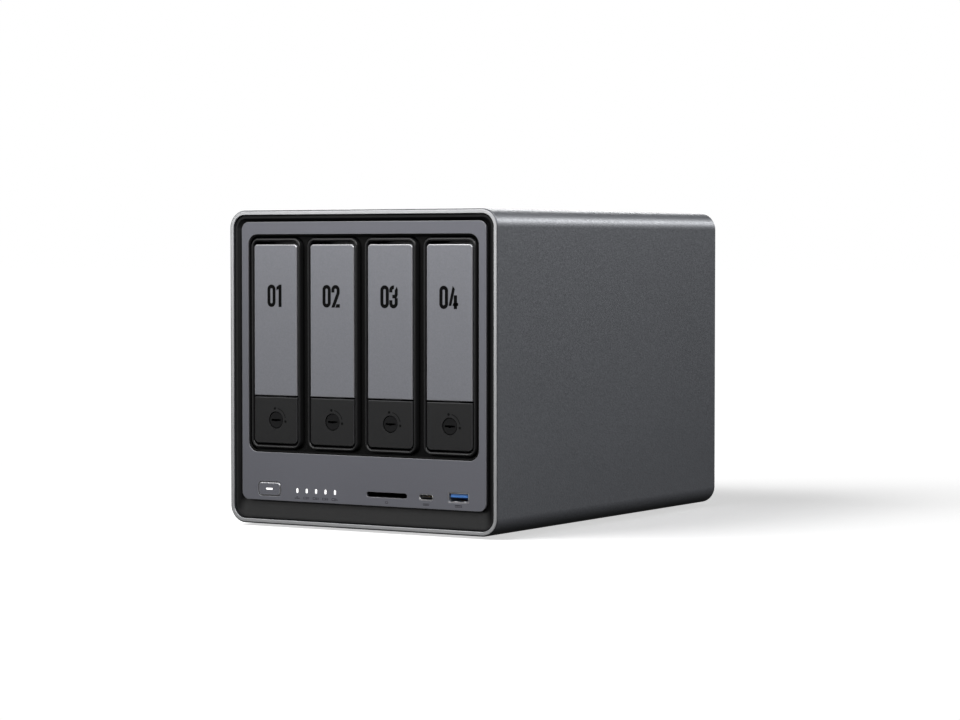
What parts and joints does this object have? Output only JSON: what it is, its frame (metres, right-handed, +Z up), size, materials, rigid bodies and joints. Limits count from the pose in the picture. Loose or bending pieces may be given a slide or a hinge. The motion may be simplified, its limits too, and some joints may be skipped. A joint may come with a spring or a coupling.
{
  "type": "network storage enclosure",
  "caption": "Desktop network storage box: metal sleeve shell, upright pull-out drive trays with swing-out handles, press latches and key locks, front sockets, power button and rear fan.",
  "frame": {"origin": "on the surface it stands on, under the middle of the outer shell", "axes": "+Z up, +Y from the front with the trays towards the rear, +X to the right as seen from the front"},
  "size_m": [0.178, 0.257, 0.1786],
  "materials": {
    "anodised_shell": "bead-blasted and anodised dark grey, fine matte grain",
    "bezel_plastic": "dark moulded plastic, satin",
    "panel_grey": "cool grey satin paint on sheet aluminium",
    "tray_plastic": "black moulded plastic, fine texture",
    "latch_plastic": "charcoal moulded plastic, satin",
    "lock_metal": "dark plated metal",
    "cage_steel": "zinc-plated sheet steel",
    "circuit_board": "dark green solder mask",
    "connector_plastic": "black glass-filled plastic",
    "socket_steel": "nickel-plated sheet steel",
    "heatsink": "extruded aluminium",
    "fan_plastic": "black moulded plastic",
    "filter_mesh": "black frame with fine woven mesh",
    "light_pipe": "milky clear moulding",
    "rubber": "black matt rubber"
  },
  "bodies": {
    "enclosure": {"bay_divider_1": "tray_plastic", "bay_divider_2": "tray_plastic", "bay_divider_3": "tray_plastic", "bay_frame": "bezel_plastic", "boot_drive": "circuit_board", "bottom_cover": "anodised_shell", "cage_bottom": "cage_steel", "cage_top": "cage_steel", "cage_wall_left": "cage_steel", "cage_wall_right": "cage_steel", "card_reader": "socket_steel", "cpu_heatsink": "heatsink", "drive_backplane": "circuit_board", "drive_connector_1": "connector_plastic", "drive_connector_2": "connector_plastic", "drive_connector_3": "connector_plastic", "drive_connector_4": "connector_plastic", "fan_frame": "fan_plastic", "foot_front_left": "rubber", "foot_front_right": "rubber", "foot_rear_left": "rubber", "foot_rear_right": "rubber", "front_bezel": "bezel_plastic", "front_io_board": "circuit_board", "front_panel": "panel_grey", "lan_port_1": "socket_steel", "lan_port_2": "socket_steel", "light_pipe": "light_pipe", "mainboard": "circuit_board", "memory_module": "circuit_board", "outer_shell": "anodised_shell", "power_inlet": "connector_plastic", "rear_panel": "anodised_shell", "rear_usb_stack": "socket_steel", "usb_a_port": "socket_steel", "usb_c_port": "socket_steel", "video_port": "socket_steel"},
    "tray_1_body": {"tray_1": "tray_plastic"},
    "handle_1_body": {"tray_handle_1": "panel_grey"},
    "latch_1_body": {"tray_latch_1": "latch_plastic"},
    "lock_1_body": {"tray_lock_1": "lock_metal"},
    "tray_2_body": {"tray_2": "tray_plastic"},
    "handle_2_body": {"tray_handle_2": "panel_grey"},
    "latch_2_body": {"tray_latch_2": "latch_plastic"},
    "lock_2_body": {"tray_lock_2": "lock_metal"},
    "tray_3_body": {"tray_3": "tray_plastic"},
    "handle_3_body": {"tray_handle_3": "panel_grey"},
    "latch_3_body": {"tray_latch_3": "latch_plastic"},
    "lock_3_body": {"tray_lock_3": "lock_metal"},
    "tray_4_body": {"tray_4": "tray_plastic"},
    "handle_4_body": {"tray_handle_4": "panel_grey"},
    "latch_4_body": {"tray_latch_4": "latch_plastic"},
    "lock_4_body": {"tray_lock_4": "lock_metal"},
    "power_button_body": {"power_button": "panel_grey"},
    "fan_rotor_body": {"fan_rotor": "fan_plastic"},
    "dust_filter_body": {"dust_filter": "filter_mesh"},
    "reset_button_body": {"reset_button": "connector_plastic"}
  },
  "joints": [
    {"name": "tray_1_slide", "type": "slide", "parent": "enclosure", "child": "tray_1_body", "axis": [0, -1, 0], "range_m": [0, 0.18]},
    {"name": "handle_1_hinge", "type": "hinge", "parent": "tray_1_body", "child": "handle_1_body", "pos_m": [-0.0579, -0.1242, 0.1556], "axis": [-1, 0, 0], "range_deg": [0, 40]},
    {"name": "latch_1_press", "type": "slide", "parent": "tray_1_body", "child": "latch_1_body", "axis": [0, 1, 0], "range_m": [0, 0.0015], "stiffness_N_per_m": 1500},
    {"name": "lock_1_turn", "type": "hinge", "parent": "latch_1_body", "child": "lock_1_body", "pos_m": [-0.0579, -0.1273, 0.0604], "axis": [0, -1, 0], "range_deg": [0, 90]},
    {"name": "tray_2_slide", "type": "slide", "parent": "enclosure", "child": "tray_2_body", "axis": [0, -1, 0], "range_m": [0, 0.18]},
    {"name": "handle_2_hinge", "type": "hinge", "parent": "tray_2_body", "child": "handle_2_body", "pos_m": [-0.0193, -0.1242, 0.1556], "axis": [-1, 0, 0], "range_deg": [0, 40]},
    {"name": "latch_2_press", "type": "slide", "parent": "tray_2_body", "child": "latch_2_body", "axis": [0, 1, 0], "range_m": [0, 0.0015], "stiffness_N_per_m": 1500},
    {"name": "lock_2_turn", "type": "hinge", "parent": "latch_2_body", "child": "lock_2_body", "pos_m": [-0.0193, -0.1273, 0.0604], "axis": [0, -1, 0], "range_deg": [0, 90]},
    {"name": "tray_3_slide", "type": "slide", "parent": "enclosure", "child": "tray_3_body", "axis": [0, -1, 0], "range_m": [0, 0.18]},
    {"name": "handle_3_hinge", "type": "hinge", "parent": "tray_3_body", "child": "handle_3_body", "pos_m": [0.0193, -0.1242, 0.1556], "axis": [-1, 0, 0], "range_deg": [0, 40]},
    {"name": "latch_3_press", "type": "slide", "parent": "tray_3_body", "child": "latch_3_body", "axis": [0, 1, 0], "range_m": [0, 0.0015], "stiffness_N_per_m": 1500},
    {"name": "lock_3_turn", "type": "hinge", "parent": "latch_3_body", "child": "lock_3_body", "pos_m": [0.0193, -0.1273, 0.0604], "axis": [0, -1, 0], "range_deg": [0, 90]},
    {"name": "tray_4_slide", "type": "slide", "parent": "enclosure", "child": "tray_4_body", "axis": [0, -1, 0], "range_m": [0, 0.18]},
    {"name": "handle_4_hinge", "type": "hinge", "parent": "tray_4_body", "child": "handle_4_body", "pos_m": [0.0579, -0.1242, 0.1556], "axis": [-1, 0, 0], "range_deg": [0, 40]},
    {"name": "latch_4_press", "type": "slide", "parent": "tray_4_body", "child": "latch_4_body", "axis": [0, 1, 0], "range_m": [0, 0.0015], "stiffness_N_per_m": 1500},
    {"name": "lock_4_turn", "type": "hinge", "parent": "latch_4_body", "child": "lock_4_body", "pos_m": [0.0579, -0.1273, 0.0604], "axis": [0, -1, 0], "range_deg": [0, 90]},
    {"name": "power_button_press", "type": "slide", "parent": "enclosure", "child": "power_button_body", "axis": [0, 1, 0], "range_m": [0, 0.0008], "stiffness_N_per_m": 1200},
    {"name": "reset_button_press", "type": "slide", "parent": "enclosure", "child": "reset_button_body", "axis": [0, -1, 0], "range_m": [0, 0.0006], "stiffness_N_per_m": 800},
    {"name": "fan_spin", "type": "hinge", "parent": "enclosure", "child": "fan_rotor_body", "pos_m": [0, 0.1089, 0.1035], "axis": [0, 1, 0], "continuous": true},
    {"name": "dust_filter_pull", "type": "slide", "parent": "enclosure", "child": "dust_filter_body", "axis": [0, 1, 0], "range_m": [0, 0.03]}
  ]
}
